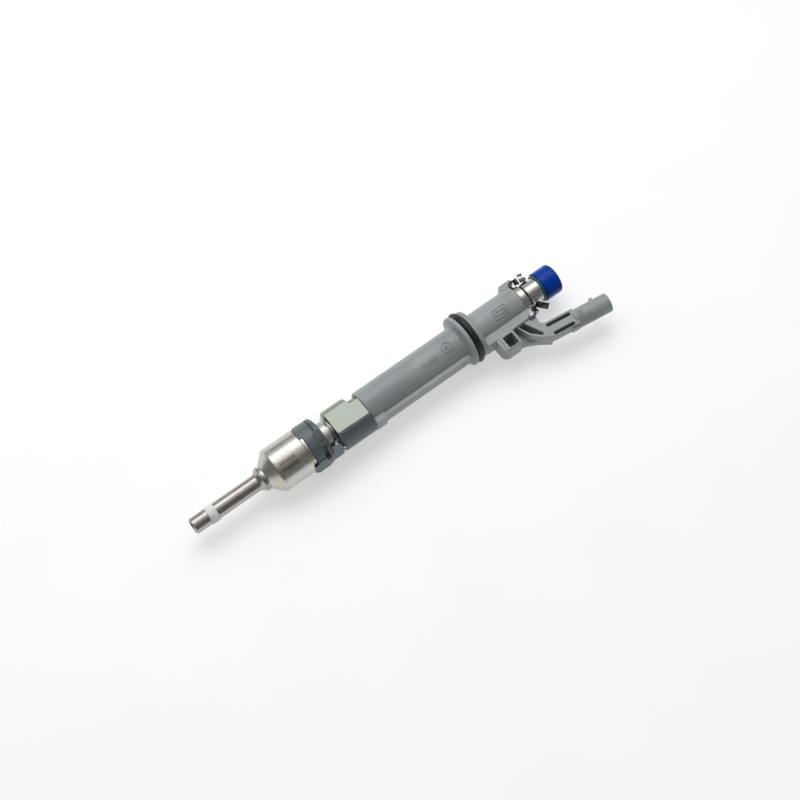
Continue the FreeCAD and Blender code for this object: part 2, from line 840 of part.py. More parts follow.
def sleeve_ribs(piece):
    """The rib that covers the conductors, and its thicker head behind the duct."""
    piece.slab(shifted([
        ("duct_at + duct_length + fit_gap", "-sleeve_bore - 2"),
        ("duct_at + duct_length + fit_gap", "-rib_reach"),
        ("flange_at + 0.5", "-rib_reach"),
        ("flange_at + 0.5", "-sleeve_bore - 2"),
    ], "sleeve_at"), "-rib_half_width", "rib_half_width")
    piece.slab(shifted([
        ("duct_at + duct_length + fit_gap", "-sleeve_bore - 2"),
        ("duct_at + duct_length + fit_gap", "-rib_head_reach"),
        ("rib_head_end_at", "-rib_head_reach", "0.6"),
        ("rib_head_end_at", "-sleeve_bore - 2"),
    ], "sleeve_at"), "-rib_half_width - 0.6", "rib_half_width + 0.6")


def sleeve_arm(piece):
    """Ledge, lug, gusset, strut, arm plate and connector barrel, in one plane beside the sleeve."""
    piece.slab(shifted([
        ("ledge_at", "-sleeve_bore - 1"),
        ("ledge_at", "-ledge_reach", "1.2"),
        ("arm_at - 1.9", "-ledge_reach"),
        ("sleeve_end_at", "-ledge_reach + 1.5"),
        ("sleeve_end_at", "-sleeve_bore - 1"),
    ], "sleeve_at"), "arm_floor", "ledge_top")
    piece.slab(shifted([
        ("lug_at", "-sleeve_bore - 1"),
        ("lug_at", "-lug_reach", "lug_corner"),
        ("lug_end_at", "-lug_reach", "0.5"),
        ("lug_end_at", "-sleeve_bore - 1"),
    ], "sleeve_at"), "arm_floor", "lug_top - 0.4")
    piece.slab(shifted([
        ("window_at - 1.3", "-window_start + 1"),
        ("window_at - 1.3", "-window_start - window_width - 0.5"),
        ("window_at + window_length + 0.9", "-window_start - window_width - 0.5"),
        ("window_at + window_length + 0.9", "-window_start + 1"),
    ], "sleeve_at"), "0", "lug_top")
    arm_low_start = along_arm("-1.3", "-arm_low_side")
    arm_high_start = along_arm("-1.4", "arm_high_side")
    piece.slab(shifted([
        ("lug_end_at - 1", "-sleeve_bore - 1"),
        ("lug_end_at - 1", "-lug_reach + 0.9"),
        ("arm_at - 11.8", "-lug_reach + 0.2", "4"),
        ("arm_at - 7.3", "-lug_reach - 2.1", "4"),
        arm_low_start,
        arm_high_start,
        ("arm_at - 2.6", "-15"),
        ("arm_at - 2.1", "-sleeve_bore - 4"),
    ], "sleeve_at"), "arm_floor", "gusset_top")
    piece.slab(shifted([
        ("arm_at - 12.1", "-sleeve_bore - 2.5"),
        ("arm_at - 12.1", "-ledge_reach - 0.1"),
        ("arm_at - 10", "-lug_reach + 0.8", "2"),
        ("arm_at - 6.2", "-lug_reach - 3.3", "2"),
        arm_low_start,
        arm_high_start,
        ("arm_at - 2.6", "-15", "1.5"),
        ("arm_at - 2.1", "-ledge_reach - 1.5", "1"),
        ("sleeve_end_at", "-ledge_reach + 1.5"),
        ("sleeve_end_at", "-sleeve_bore - 2.5"),
    ], "sleeve_at"), "-2", "strut_top")
    plate = arm_plan("-1.5", "arm_plate_length", "-arm_low_side", "arm_high_side")
    piece.slab(shifted(plate, "sleeve_at"), "arm_plate_floor", "arm_half_thickness")
    heel = arm_plan("arm_heel", "arm_plate_length", "-barrel_radius + 0.1", "0")
    piece.slab(shifted(heel, "sleeve_at"), "-2", "2")
    arm_cylinder(piece, "PartDesign::AdditiveCylinder", "barrel_start", "barrel_end", "barrel_radius")
    nub = arm_plan(
        "nub_station - nub_radius",
        "nub_station + nub_radius",
        "barrel_radius - 0.6",
        "barrel_radius + nub_height",
        "0.4",
    )
    piece.slab(shifted(nub, "sleeve_at"), "-nub_radius", "nub_radius")


def arm_cylinder(piece, kind, start, end, radius):
    """A cylinder on the arm's middle line."""
    x, y = along_arm(start, "0")
    cylinder = piece.add(kind)
    cylinder.AttachmentSupport = [(piece.plane("XY_Plane"), "")]
    cylinder.MapMode = "FlatFace"
    facing = FreeCAD.Rotation(FreeCAD.Vector(0, 0, 1), -value_of("arm_angle"))
    along = FreeCAD.Rotation(FreeCAD.Vector(0, 1, 0), 90)
    cylinder.AttachmentOffset = FreeCAD.Placement(FreeCAD.Vector(), facing * along)
    bind(cylinder, "AttachmentOffset.Base.x", f"{x} - sleeve_at")
    bind(cylinder, "AttachmentOffset.Base.y", y)
    bind(cylinder, "Radius", radius)
    bind(cylinder, "Height", f"({end}) - ({start})")


def sleeve_openings(piece):
    """The bores for the steel parts, the lug's window, the pockets, the slots and the socket."""
    piece.bore([
        ("-1", "0"),
        ("-1", "rear_neck_radius"),
        ("rear_neck_end_at - sleeve_at", "rear_neck_radius"),
        ("rear_neck_end_at - sleeve_at", "inlet_tube_radius"),
        ("sleeve_end_at - sleeve_at + 1", "inlet_tube_radius"),
        ("sleeve_end_at - sleeve_at + 1", "0"),
    ])
    piece.recess(shifted([
        ("window_at", "-window_start", "0.4"),
        ("window_at", "-window_start - window_width", "0.4"),
        ("window_at + window_length", "-window_start - window_width", "0.4"),
        ("window_at + window_length", "-window_start", "0.4"),
    ], "sleeve_at"), "lug_top - window_depth", "lug_top + 1")
    piece.recess(shifted([
        ("arm_at - 11.5", "-ledge_reach - 0.4"),
        ("arm_at - 9.2", "-lug_reach + 1.7", "1"),
        ("arm_at - 5.2", "-arm_drop", "0.3"),
        ("arm_at - 4.2", "-arm_drop + 0.7", "0.4"),
        ("arm_at - 8.4", "-ledge_reach - 0.4"),
    ], "sleeve_at"), "strut_pocket_floor", "strut_top + 1")
    for side in ("", "-"):
        plan = arm_plan(
            f"slot_start - ({side}slot_stagger)",
            f"slot_start + slot_length + ({side}slot_stagger) / 2",
            f"{side}slot_spread - slot_width / 2",
            f"{side}slot_spread + slot_width / 2",
            "slot_width * 0.45",
        )
        low = "arm_half_thickness - slot_depth"
        piece.recess(shifted(plan, "sleeve_at"), low, "arm_half_thickness + 1")
    socket = "PartDesign::SubtractiveCylinder"
    arm_cylinder(piece, socket, "barrel_end - socket_depth", "barrel_end + 1", "socket_radius")
    for side in ("", "-"):
        piece.cut(conductor_plan(piece, "sleeve_at", side), "conductor_width")


def sleeve_housing():
    piece = Piece("sleeve_housing", "sleeve_at")
    sleeve_body(piece)
    sleeve_ribs(piece)
    sleeve_arm(piece)
    piece.slab(shifted([
        ("clip_lug_at", "sleeve_bore + 1"),
        ("clip_lug_at", "rear_tube_radius - 0.3"),
        ("clip_lug_at + 1.6", "clip_lug_reach", "0.8"),
        ("clip_lug_end_at", "clip_lug_reach", "0.4"),
        ("clip_lug_end_at", "clip_lug_reach - 2.6"),
        ("sleeve_end_at", "clip_lug_reach - 3.6"),
        ("sleeve_end_at", "sleeve_bore + 1"),
    ], "sleeve_at"), "-clip_lug_half_width", "clip_lug_half_width")
    sleeve_openings(piece)


def turned_ring(label, station, middle, wire, along):
    """A ring of round section, such as a rubber seal."""
    piece = Piece(label, station)
    sketch = piece.circles([(along, middle)], wire, role="XZ_Plane")
    loop = piece.add("PartDesign::Revolution")
    loop.Profile = sketch
    loop.ReferenceAxis = (sketch, ["H_Axis"])
    loop.Angle = 360


def body_o_ring():
    middle = "o_ring_radius - o_ring_wire"
    turned_ring("body_o_ring", "rear_flange_at", middle, "o_ring_wire", "-o_ring_wire - 0.05")


# ---- inlet -----------------------------------------------------------------------------------


def inlet_tube():
    """The fuel tube, with its clip groove, its round head and the groove for the inlet seal."""
    piece = Piece("inlet_tube", "rear_neck_end_at")
    groove_end = "inlet_groove_at + inlet_groove_width"
    clip_end = "clip_groove_at + clip_groove_width"
    piece.turn(shifted([
        ("rear_neck_end_at", "fuel_bore"),
        ("rear_neck_end_at", "inlet_tube_radius"),
        ("clip_groove_at", "inlet_tube_radius"),
        ("clip_groove_at", "clip_groove_radius"),
        (clip_end, "clip_groove_radius"),
        (clip_end, "head_radius", "0.25"),
        ("inlet_groove_at", "head_radius"),
        ("inlet_groove_at", "inlet_groove_radius"),
        (groove_end, "inlet_groove_radius"),
        (groove_end, "head_radius"),
        ("inlet_end_at", "head_radius", "0.5"),
        ("inlet_end_at", "fuel_bore"),
    ], "rear_neck_end_at"))


def spacer_ring():
    piece = Piece("spacer_ring", "spacer_at")
    piece.turn(ring("inlet_tube_radius", "spacer_radius", "0", "spacer_length", "0.35"))


def backup_ring():
    piece = Piece("backup_ring", "cap_at - backup_length - fit_gap")
    piece.turn(ring("head_radius", "backup_radius", "0", "backup_length", "0.25"))


def inlet_o_ring():
    middle = "inlet_groove_radius + inlet_ring_wire"
    turned_ring("inlet_o_ring", "inlet_groove_at", middle, "inlet_ring_wire", "inlet_groove_width / 2")


def inlet_filter():
    """A basket that catches dirt in the fuel bore."""
    piece = Piece("inlet_filter", "filter_at")
    piece.turn([
        ("0", "0"),
        ("0", "filter_radius - 0.3"),
        ("filter_length - 1.2", "filter_radius - 0.3"),
        ("filter_length - 1.2", "filter_radius"),
        ("filter_length", "filter_radius"),
        ("filter_length", "filter_radius - 0.6"),
        ("0.4", "filter_radius - 0.6"),
        ("0.4", "0"),
    ])


def protective_cap():
    piece = Piece("protective_cap", "cap_at")
    piece.turn([
        ("0", "cap_bore + 0.15"),
        ("0", "cap_radius"),
        ("cap_length", "cap_radius", "1.2"),
        ("cap_length", "0"),
        ("cap_length - cap_end", "0"),
        ("cap_length - cap_end", "cap_bore"),
        ("0.5", "cap_bore"),
    ])


def retaining_clip():
    """A spring-steel ring in the tube's groove, open above, with an ear bent forward on each side."""
    piece = Piece("retaining_clip", "clip_groove_at + fit_gap")
    piece.turn(ring("clip_inner", "clip_outer", "0", "clip_thickness"))
    ear = "clip_ear_height / 2"
    low = f"-{ear}"
    gap = [
        ("-1", "-clip_inner * 0.6"),
        ("clip_thickness + 1", "-clip_inner * 0.6"),
        ("clip_thickness + 1", "clip_inner * 0.6"),
        ("-1", "clip_inner * 0.6"),
    ]
    piece.recess(gap, "0", "clip_outer + 1")
    for side in ("", "-"):
        piece.slab([
            ("0", f"{side}clip_ear_start"),
            ("0", f"{side}(clip_ear_reach - 2)"),
            ("clip_thickness + 1.2", f"{side}(clip_ear_reach - 1.4)"),
            ("clip_ear_length - 2.6", f"{side}(clip_ear_reach - 2.2)"),
            ("clip_ear_length - 1.2", f"{side}clip_ear_reach"),
            ("clip_ear_length", f"{side}(clip_ear_reach - 0.2)"),
            ("clip_ear_length - 0.6", f"{side}(clip_ear_reach - 3.6)"),
            ("clip_thickness", f"{side}(clip_ear_reach - 3.2)"),
            ("clip_thickness", f"{side}clip_ear_start"),
        ], low, ear)


def build():
    nozzle_tube()
    valve_seat()
    needle_guide("lower_needle_guide", "lower_guide_at")
    needle_guide("upper_needle_guide", "upper_guide_at")
    valve_ball()
    needle_rod()
    combustion_seal()
    compensation_disc()
    armature()
    armature_tube()
    pole_core()
    return_spring()
    adjuster_sleeve()
    coil_bobbin()
    coil_winding()
    coil_housing()
    flux_washer()
    coil_overmold()
    conductor("conductor_upper", "")
    conductor("conductor_lower", "-")
    terminal_pin("terminal_pin_upper", "")
    terminal_pin("terminal_pin_lower", "-")
    conductor_duct()
    carrier_block()
    snap_ring()
    sleeve_housing()
    body_o_ring()
    inlet_tube()
    spacer_ring()
    backup_ring()
    inlet_o_ring()
    inlet_filter()
    protective_cap()
    retaining_clip()


build()
doc.recompute()

broken = [o.Label for o in doc.Objects if "Invalid" in o.State or "Error" in o.State]
if broken:
    raise SystemExit(f"failed features: {', '.join(broken)}")
for body in PIECES:
    if body.Shape.isNull() or not body.Shape.isValid():
        raise SystemExit(f"bad shape: {body.Label}")
    if len(body.Shape.Solids) != 1:
        raise SystemExit(f"{body.Label} holds {len(body.Shape.Solids)} solids")

os.makedirs("parts", exist_ok=True)
for body in PIECES:
    body.Shape.exportStep(f"parts/{body.Label}.step")
    print(f"{body.Label:22s} {body.Shape.Volume:10.2f} mm3")
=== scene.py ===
import json
import math

import bmesh
import bpy
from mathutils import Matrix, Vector


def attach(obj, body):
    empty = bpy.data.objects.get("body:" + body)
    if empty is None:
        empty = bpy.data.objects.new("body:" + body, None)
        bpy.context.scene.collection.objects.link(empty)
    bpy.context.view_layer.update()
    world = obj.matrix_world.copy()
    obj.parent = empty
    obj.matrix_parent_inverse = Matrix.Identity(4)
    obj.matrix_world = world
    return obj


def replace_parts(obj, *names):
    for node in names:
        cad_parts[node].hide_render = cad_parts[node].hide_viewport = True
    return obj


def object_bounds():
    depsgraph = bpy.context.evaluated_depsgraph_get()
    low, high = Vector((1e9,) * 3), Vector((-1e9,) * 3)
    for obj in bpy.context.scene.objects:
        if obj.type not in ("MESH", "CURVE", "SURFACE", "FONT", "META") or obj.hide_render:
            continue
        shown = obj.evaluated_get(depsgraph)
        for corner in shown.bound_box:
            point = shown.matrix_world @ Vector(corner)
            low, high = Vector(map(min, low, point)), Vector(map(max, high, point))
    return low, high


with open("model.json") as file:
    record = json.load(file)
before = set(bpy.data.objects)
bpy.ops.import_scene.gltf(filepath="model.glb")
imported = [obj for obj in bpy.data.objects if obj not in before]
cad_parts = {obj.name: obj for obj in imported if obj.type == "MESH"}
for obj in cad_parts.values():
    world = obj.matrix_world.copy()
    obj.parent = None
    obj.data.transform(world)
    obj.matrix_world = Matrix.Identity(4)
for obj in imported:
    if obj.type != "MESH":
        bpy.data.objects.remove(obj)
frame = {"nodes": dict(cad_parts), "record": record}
nodes = frame["nodes"]
cad_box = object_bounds()
MM = 0.001
BODY = "housing"


# ---- finishes ---------------------------------------------------------------------------------

# Stations along the part and widths, in mm.
CAN_RADIUS = 10.41
STRAW_TINT = (38.6, 41.6)
VIOLET_TINT = (42.2, 43.0)
ETCHED_BAND = (43.35, 51.8)
ETCHED_PITCH = 1.15
COLLAR_END = 72.4
# The wave texture's scale for one ridge in each unit of length.
RIDGES_PER_SCALE = 0.314


def srgb(red, green, blue):
    """A linear colour from screen values of 0 to 255."""
    return tuple((c / 255 / 12.92 if c <= 10 else ((c / 255 + 0.055) / 1.055) ** 2.4)
                 for c in (red, green, blue))


class Finish:
    """A Principled material whose colour, roughness and relief come from patterns in the part's frame."""

    def __init__(self, name, roughness, metallic=0.0, **fixed):
        self.material = bpy.data.materials.new(name)
        self.material.use_nodes = True
        self.tree = self.material.node_tree
        self.tree.nodes.clear()
        self.shader = self.add("ShaderNodeBsdfPrincipled")
        output = self.add("ShaderNodeOutputMaterial")
        self.link(self.shader.outputs[0], output.inputs["Surface"])
        self.place = self.add("ShaderNodeTexCoord").outputs["Object"]
        self.shader.inputs["Metallic"].default_value = metallic
        self.shader.inputs["Roughness"].default_value = roughness
        for socket, value in fixed.items():
            self.shader.inputs[socket.replace("_", " ")].default_value = value
        self.normal = None

    def add(self, kind):
        return self.tree.nodes.new(kind)

    def link(self, source, target):
        self.tree.links.new(source, target)

    def stretched(self, stretch):
        mapping = self.add("ShaderNodeMapping")
        mapping.inputs["Scale"].default_value = stretch
        self.link(self.place, mapping.inputs["Vector"])
        return mapping.outputs["Vector"]

    def noise(self, size, detail=3.0, stretch=(1, 1, 1), distortion=0.0):
        """Cloudy noise with features of this size in mm, drawn out where stretch is below 1."""
        node = self.add("ShaderNodeTexNoise")
        node.inputs["Scale"].default_value = 1 / (size * MM)
        node.inputs["Detail"].default_value = detail
        node.inputs["Distortion"].default_value = distortion
        self.link(self.stretched(stretch), node.inputs["Vector"])
        return node.outputs["Fac"]

    def waves(self, pitch, axis="X"):
        """Ridges across an axis with this pitch in mm."""
        node = self.add("ShaderNodeTexWave")
        node.bands_direction = axis
        node.inputs["Scale"].default_value = RIDGES_PER_SCALE / (pitch * MM)
        self.link(self.place, node.inputs["Vector"])
        return node.outputs["Fac"]

    def maths(self, operation, *values):
        node = self.add("ShaderNodeMath")
        node.operation = operation
        for socket, value in zip(node.inputs, values):
            if hasattr(value, "is_output"):
                self.link(value, socket)
            else:
                socket.default_value = value
        return node.outputs[0]

    def blend(self, one, other, share):
        """A mix of two patterns with this share of the first."""
        first = self.maths("MULTIPLY", one, share)
        return self.maths("ADD", first, self.maths("MULTIPLY", other, 1 - share))

    def span(self, value, low, high, to_low=0.0, to_high=1.0):
        """Maps low to high onto to_low to to_high."""
        node = self.add("ShaderNodeMapRange")
        self.link(value, node.inputs["Value"])
        limits = {"From Min": low, "From Max": high, "To Min": to_low, "To Max": to_high}
        for name, number in limits.items():
            node.inputs[name].default_value = number
        return node.outputs["Result"]

    def axis(self, letter):
        """The place along one axis of the part's frame, in metres."""
        node = self.add("ShaderNodeSeparateXYZ")
        self.link(self.place, node.inputs[0])
        return node.outputs[letter]

    def window(self, value, low, high, soft):
        """1 where the value lies between low and high, with soft edges."""
        rise = self.span(value, low - soft, low + soft)
        fall = self.span(value, high - soft, high + soft, 1.0, 0.0)
        return self.maths("MULTIPLY", rise, fall)

    def colours(self, value, stops):
        node = self.add("ShaderNodeValToRGB")
        elements = node.color_ramp.elements
        elements[0].position, elements[1].position = stops[0][0], stops[-1][0]
        elements[0].color, elements[1].color = (*stops[0][1], 1), (*stops[-1][1], 1)
        for at, colour in stops[1:-1]:
            elements.new(at).color = (*colour, 1)
        self.link(value, node.inputs["Fac"])
        return node.outputs["Color"]

    def base(self, value, stops):
        self.colour = self.colours(value, stops)
        self.link(self.colour, self.shader.inputs["Base Color"])

    def stain(self, value, colour):
        """Lays a colour over the base where the value is high."""
        node = self.add("ShaderNodeMix")
        node.data_type = "RGBA"
        self.link(value, node.inputs["Factor"])
        self.link(self.colour, node.inputs[6])
        node.inputs[7].default_value = (*colour, 1)
        self.colour = node.outputs[2]
        self.link(self.colour, self.shader.inputs["Base Color"])

    def roughness(self, value, low, high):
        self.link(self.span(value, 0.3, 0.7, low, high), self.shader.inputs["Roughness"])

    def relief(self, value, depth, strength=1.0):
        """Relief of this depth in mm."""
        node = self.add("ShaderNodeBump")
        node.inputs["Strength"].default_value = strength
        node.inputs["Distance"].default_value = depth * MM
        self.link(value, node.inputs["Height"])
        if self.normal:
            self.link(self.normal, node.inputs["Normal"])
        self.normal = node.outputs["Normal"]
        self.link(self.normal, self.shader.inputs["Normal"])


def turned(name, light, dark, rough, spread, ring=0.12, depth=0.004):
    """Steel off a lathe: fine rings about the axis and a cloudy polish."""
    finish = Finish(name, rough, metallic=1.0)
    rings = finish.noise(ring, 2.0, (1, 0.02, 0.02))
    cloud = finish.noise(4.0, 4.0)
    both = finish.blend(rings, cloud, 0.6)
    finish.base(both, [(0.3, dark), (0.7, light)])
    finish.roughness(both, rough - spread, rough + spread)
    finish.relief(rings, depth, 0.5)
    return finish


def moulded(name, light, dark, rough, grain=0.25):
    """Glass-filled plastic: a fine spark-eroded grain, short pale fibres and faint flow clouds."""
    finish = Finish(name, rough)
    cloud = finish.noise(9.0, 3.0, (0.5, 1, 1), 0.6)
    finish.base(cloud, [(0.32, dark), (0.68, light)])
    fibre = finish.noise(0.35, 2.0, (0.25, 1, 1))
    finish.stain(finish.span(fibre, 0.60, 0.78, 0.0, 0.35), tuple(min(1, c * 1.5) for c in light))
    fine = finish.noise(grain, 3.0)
    finish.roughness(fine, rough - 0.07, rough + 0.09)
    finish.relief(fine, 0.012, 0.6)
    finish.relief(cloud, 0.05, 0.25)
    return finish


def stem_steel():
    return turned("stem steel", (0.50, 0.48, 0.46), (0.36, 0.34, 0.32), 0.24, 0.05, depth=0.006)


def hard_steel():
    return turned("hard steel", (0.46, 0.46, 0.47), (0.34, 0.34, 0.35), 0.22, 0.05, 0.08)


def polished_steel():
    return turned("polished steel", (0.72, 0.72, 0.73), (0.62, 0.62, 0.63), 0.12, 0.04, 0.06, 0.002)


def ptfe():
    finish = Finish("ptfe", 0.45, Subsurface_Weight=0.25, Subsurface_Scale=0.0006)
    cloud = finish.noise(1.6, 4.0)
    finish.base(cloud, [(0.3, srgb(206, 207, 203)), (0.7, srgb(228, 229, 226))])
    skive = finish.noise(0.14, 2.0, (1, 0.03, 0.03))
    finish.roughness(skive, 0.38, 0.55)
    finish.relief(skive, 0.012, 0.6)
    return finish


def soft_iron():
    return turned("soft iron", (0.40, 0.39, 0.38), (0.30, 0.29, 0.28), 0.36, 0.07, 0.16)


def can_steel():
    """Turned steel with a faint heat tint by the weld and three etched rows of equal bars."""
    finish = turned("can steel", (0.64, 0.62, 0.59), (0.52, 0.50, 0.47), 0.27, 0.05, 0.10, 0.005)
    x = finish.maths("MULTIPLY", finish.axis("X"), 1 / MM)
    around = finish.maths("ARCTAN2", finish.maths("MULTIPLY", finish.axis("Y"), -1.0), finish.axis("Z"))
    s = finish.maths("MULTIPLY", around, CAN_RADIUS)
    straw = finish.window(x, *STRAW_TINT, 0.9)
    finish.stain(finish.maths("MULTIPLY", straw, 0.30), (0.50, 0.47, 0.30))
    violet = finish.window(x, *VIOLET_TINT, 0.4)
    finish.stain(finish.maths("MULTIPLY", violet, 0.25), (0.36, 0.30, 0.46))
    phase = finish.maths("FRACT", finish.maths("DIVIDE", x, ETCHED_PITCH))
    bars = finish.window(phase, 0.18, 0.72, 0.06)
    bars = finish.maths("MULTIPLY", bars, finish.window(x, *ETCHED_BAND, 0.02))
    for low, high, depth in ((-1.1, 0.7, 0.30), (2.1, 3.8, 0.90), (5.0, 6.7, 0.90)):
        row = finish.maths("MULTIPLY", bars, finish.window(s, low, high, 0.08))
        finish.stain(finish.maths("MULTIPLY", row, depth), (0.24, 0.14, 0.045))
    return finish


def spring_steel():
    return turned("spring steel", (0.13, 0.127, 0.123), (0.07, 0.069, 0.067), 0.32, 0.08, 0.5, 0.004)


def bobbin_plastic():
    return moulded("bobbin plastic", srgb(196, 186, 160), srgb(178, 168, 142), 0.5)


def copper_wire():
    finish = Finish("copper wire", 0.3, metallic=1.0)
    turns = finish.waves(0.28)
    # painted shade: the base runs dark brown in the grooves between turns, where shade falls
    finish.base(turns, [(0.0, (0.30, 0.11, 0.05)), (0.8, (0.78, 0.36, 0.20))])
    cloud = finish.noise(0.8, 3.0)
    finish.roughness(cloud, 0.22, 0.36)
    finish.relief(turns, 0.12)
    return finish


def slate_plastic():
    return moulded("slate plastic", srgb(88, 99, 102), srgb(72, 83, 87), 0.33)


def tinned_copper():
    finish = Finish("tinned copper", 0.3, metallic=1.0)
    drag = finish.noise(0.2, 3.0, (0.08, 1, 1))
    finish.base(drag, [(0.3, (0.58, 0.57, 0.54)), (0.7, (0.74, 0.73, 0.70))])
    finish.roughness(drag, 0.24, 0.40)
    finish.relief(drag, 0.004, 0.6)
    return finish


def block_steel():
    """Milled and zinc plated steel with a faint green cast, and a bare turned collar in front of it."""
    finish = Finish("block steel", 0.4, metallic=1.0)
    ground = finish.noise(0.12, 2.0, (0.03, 1, 1))
    cloud = finish.noise(4.0, 4.0, (1, 1, 1), 0.8)
    both = finish.blend(ground, cloud, 0.45)
    finish.base(both, [(0.3, (0.29, 0.33, 0.27)), (0.7, (0.37, 0.40, 0.355))])
    collar = finish.span(finish.axis("X"), (COLLAR_END - 0.1) * MM, (COLLAR_END + 0.1) * MM, 1.0, 0.0)
    finish.stain(finish.maths("MULTIPLY", collar, 0.85), (0.62, 0.61, 0.59))
    finish.roughness(both, 0.36, 0.46)
    finish.relief(ground, 0.003, 0.5)
    return finish


def grey_plastic():
    return moulded("grey plastic", srgb(148, 153, 155), srgb(134, 139, 141), 0.36)


def seal_rubber():
    finish = Finish("seal rubber", 0.42)
    cloud = finish.noise(2.0, 4.0)
    finish.base(cloud, [(0.3, srgb(12, 20, 17)), (0.7, srgb(19, 29, 26))])
    fine = finish.noise(0.18, 3.0)
    finish.roughness(fine, 0.34, 0.56)
    finish.relief(fine, 0.01, 0.6)
    return finish


def teal_ptfe():
    finish = Finish("teal ptfe", 0.4)
    cloud = finish.noise(1.2, 4.0)
    finish.base(cloud, [(0.3, srgb(16, 70, 84)), (0.7, srgb(30, 92, 104))])
    skive = finish.noise(0.12, 2.0, (1, 0.03, 0.03))
    finish.roughness(skive, 0.32, 0.5)
    finish.relief(skive, 0.01, 0.5)
    return finish


def filter_mesh():
    finish = Finish("filter mesh", 0.4)
    along = finish.waves(0.16)
    across = finish.waves(0.16, "Y")
    woven = finish.maths("MAXIMUM", along, across)
    # painted shade: the base is dark in the gaps of the weave, where shade falls
    finish.base(woven, [(0.2, srgb(90, 84, 66)), (0.8, srgb(206, 200, 180))])
    finish.roughness(woven, 0.35, 0.5)
    finish.relief(woven, 0.06)
    return finish


def cap_plastic():
    finish = Finish("cap plastic", 0.12, Specular_IOR_Level=0.16)
    cloud = finish.noise(5.0, 3.0)
    finish.base(cloud, [(0.3, (0.0, 0.034, 0.28)), (0.7, (0.0, 0.048, 0.36))])
    fine = finish.noise(0.5, 3.0)
    finish.roughness(fine, 0.08, 0.15)
    finish.relief(fine, 0.004, 0.4)
    return finish


MAKERS = {maker.__name__: maker for maker in (
    stem_steel, hard_steel, polished_steel, ptfe, soft_iron, can_steel, spring_steel, bobbin_plastic,
    copper_wire, slate_plastic, tinned_copper, block_steel, grey_plastic, seal_rubber, teal_ptfe,
    filter_mesh, cap_plastic)}
finishes = {name: maker().material for name, maker in MAKERS.items()}
slot_of = {row["node"]: row["material_slot"] for row in frame["record"]["subparts"]}


def dress(thing, slot):
    thing.data.materials.clear()
    thing.data.materials.append(finishes[slot])


for name, node in nodes.items():
    dress(node, slot_of[name])


# ---- mouldings and details --------------------------------------------------------------------


def new_piece(name, mesh, slot):
    piece = bpy.data.objects.new(name, mesh)
    bpy.context.scene.collection.objects.link(piece)
    dress(piece, slot)
    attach(piece, BODY)
    return piece


def piece_of(name, shape, slot):
    bmesh.ops.recalc_face_normals(shape, faces=shape.faces)
    mesh = bpy.data.meshes.new(name)
    shape.to_mesh(mesh)
    shape.free()
    for face in mesh.polygons:
        face.use_smooth = True
    return new_piece(name, mesh, slot)


def moulding(name, node_name, voxel, share):
    """A copy of a CAD node with the small rounded edges of a moulded part, which then stands for it."""
    mesh = nodes[node_name].data.copy()
    shape = bmesh.new()
    shape.from_mesh(mesh)
    bmesh.ops.remove_doubles(shape, verts=shape.verts, dist=0.002 * MM)
    shape.to_mesh(mesh)
    shape.free()
    rough = bpy.data.objects.new(name + "_rough", mesh)
    bpy.context.scene.collection.objects.link(rough)
    grid = rough.modifiers.new("grid", "REMESH")
    grid.mode = "VOXEL"
    grid.voxel_size = voxel * MM
    ease = rough.modifiers.new("ease", "SMOOTH")
    ease.factor = 0.5
    ease.iterations = 2
    thin = rough.modifiers.new("thin", "DECIMATE")
    thin.ratio = share
    graph = bpy.context.evaluated_depsgraph_get()
    final = bpy.data.meshes.new_from_object(rough.evaluated_get(graph))
    bpy.data.objects.remove(rough)
    for face in final.polygons:
        face.use_smooth = True
    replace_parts(new_piece(name, final, slot_of[node_name]), node_name)


def sweep(shape, places, outs, section, closed=False):
    """Draws a section of (sideways, outwards) points in mm along places; outs point away from the body."""
    count = len(places)
    loops = []
    for i, (place, out) in enumerate(zip(places, outs)):
        before = places[i - 1] if closed or i else place
        after = places[(i + 1) % count] if closed or i < count - 1 else place
        along = (after - before).normalized()
        aside = along.cross(out).normalized()
        up = aside.cross(along)
        loops.append([shape.verts.new(place + MM * (aside * a + up * b)) for a, b in section])
    for i in range(count if closed else count - 1):
        one, two = loops[i], loops[(i + 1) % count]
        for k in range(len(section)):
            m = (k + 1) % len(section)
            shape.faces.new((one[k], one[m], two[m], two[k]))
    if not closed:
        shape.faces.new(loops[0])
        shape.faces.new(reversed(loops[-1]))


def ridge(width, height, sunk=0.15):
    """The section of a low rounded ridge whose foot lies under the surface."""
    arc = [math.pi * k / 6 for k in range(7)]
    return [(width / 2, -sunk)] + [(width / 2 * math.cos(t), height * math.sin(t)) for t in arc] + [
        (-width / 2, -sunk)]


def strip(width, thickness):
    """The section of a flat spring strip with broken edges."""
    w, t, c = width / 2, thickness / 2, thickness * 0.22
    right = [(w - c, -t), (w, -t + c), (w, t - c), (w - c, t)]
    return right + [(-a, b) for a, b in reversed(right)]


class Tube:
    """Places on a round surface: x along its axis and s round it towards -Y, in mm."""

    def __init__(self, radius, centre=(0.0, 0.0), turn=0.0):
        self.radius = radius
        self.centre = centre
        self.turn = turn

    def at(self, x, s):
        angle = s / self.radius
        aside, up = -self.radius * math.sin(angle), self.radius * math.cos(angle)
        c, d = math.cos(self.turn), math.sin(self.turn)
        place = Vector((self.centre[0] + x * c - aside * d, self.centre[1] + x * d + aside * c, up)) * MM
        out = Vector((math.sin(angle) * d, -math.sin(angle) * c, math.cos(angle)))
        return place, out


